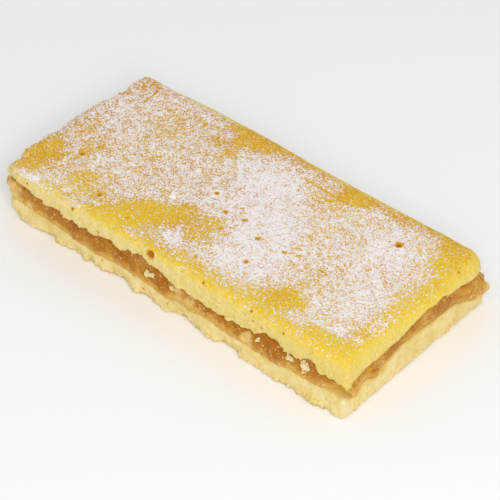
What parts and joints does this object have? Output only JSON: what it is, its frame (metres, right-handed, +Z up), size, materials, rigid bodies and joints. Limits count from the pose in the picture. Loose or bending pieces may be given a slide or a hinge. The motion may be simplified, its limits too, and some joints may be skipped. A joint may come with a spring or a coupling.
{
  "type": "apple slice pastry",
  "caption": "Oblong pastry slice cut from a tray bake: stewed apple between slabs of pale shortcrust, golden on top and dusted with icing sugar.",
  "frame": {"origin": "middle of the slice's footprint, on the surface that it lies on", "axes": "+X along the slice towards its rounded right end, +Y from the cut front to the back, +Z up through the layers"},
  "size_m": [0.148, 0.072, 0.0221],
  "materials": {
    "crust": "baked shortcrust, golden on top with icing sugar, pale crumb on the cut sides",
    "stewed_apple": "moist translucent stewed apple, amber brown",
    "base_crust": "pale baked shortcrust, lightly browned underneath",
    "icing_sugar": "matt white icing sugar in fine grains and soft clumps"
  },
  "bodies": {
    "root": {"top_pastry": "crust", "apple_filling": "stewed_apple", "bottom_pastry": "base_crust"}
  },
  "joints": []
}
